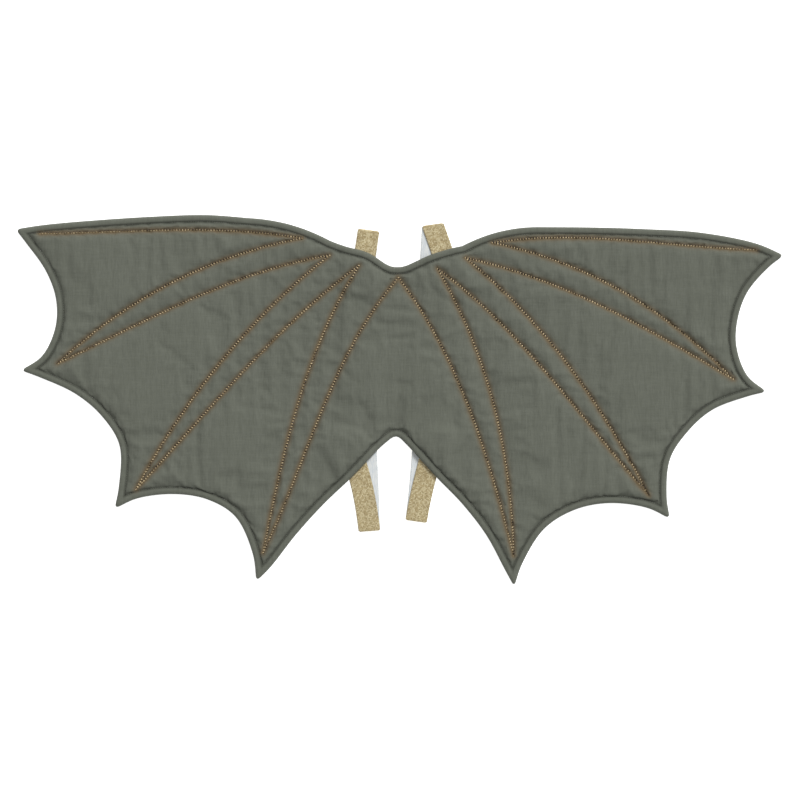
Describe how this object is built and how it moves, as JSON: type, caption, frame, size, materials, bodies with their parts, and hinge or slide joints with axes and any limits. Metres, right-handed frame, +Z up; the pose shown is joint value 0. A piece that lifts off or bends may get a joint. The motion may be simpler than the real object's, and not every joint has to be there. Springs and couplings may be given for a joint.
{
  "type": "costume dragon wings",
  "caption": "Child's quilted dragon wings with a scalloped edge, gold stitched finger seams and gold elastic arm loops behind, lying flat, front up.",
  "frame": {"origin": "on the floor, under the middle of the whole footprint as the wings lie flat, front up", "axes": "+X towards the tips of the wing on the right of the picture, +Y towards the neck and shoulders, +Z up, out of the front"},
  "size_m": [0.8796, 0.4254, 0.0104],
  "materials": {
    "quilted_cotton": "plain woven olive grey cotton, matt, quilted over wadding",
    "backing_cotton": "plain woven olive grey cotton, matt",
    "gold_elastic": "ribbed elastic with metallic gold yarn on the outer face, pale on the inner face"
  },
  "bodies": {
    "root": {"quilted_front": "quilted_cotton", "back_cloth": "backing_cotton", "strap_left": "gold_elastic", "strap_right": "gold_elastic"}
  },
  "joints": []
}
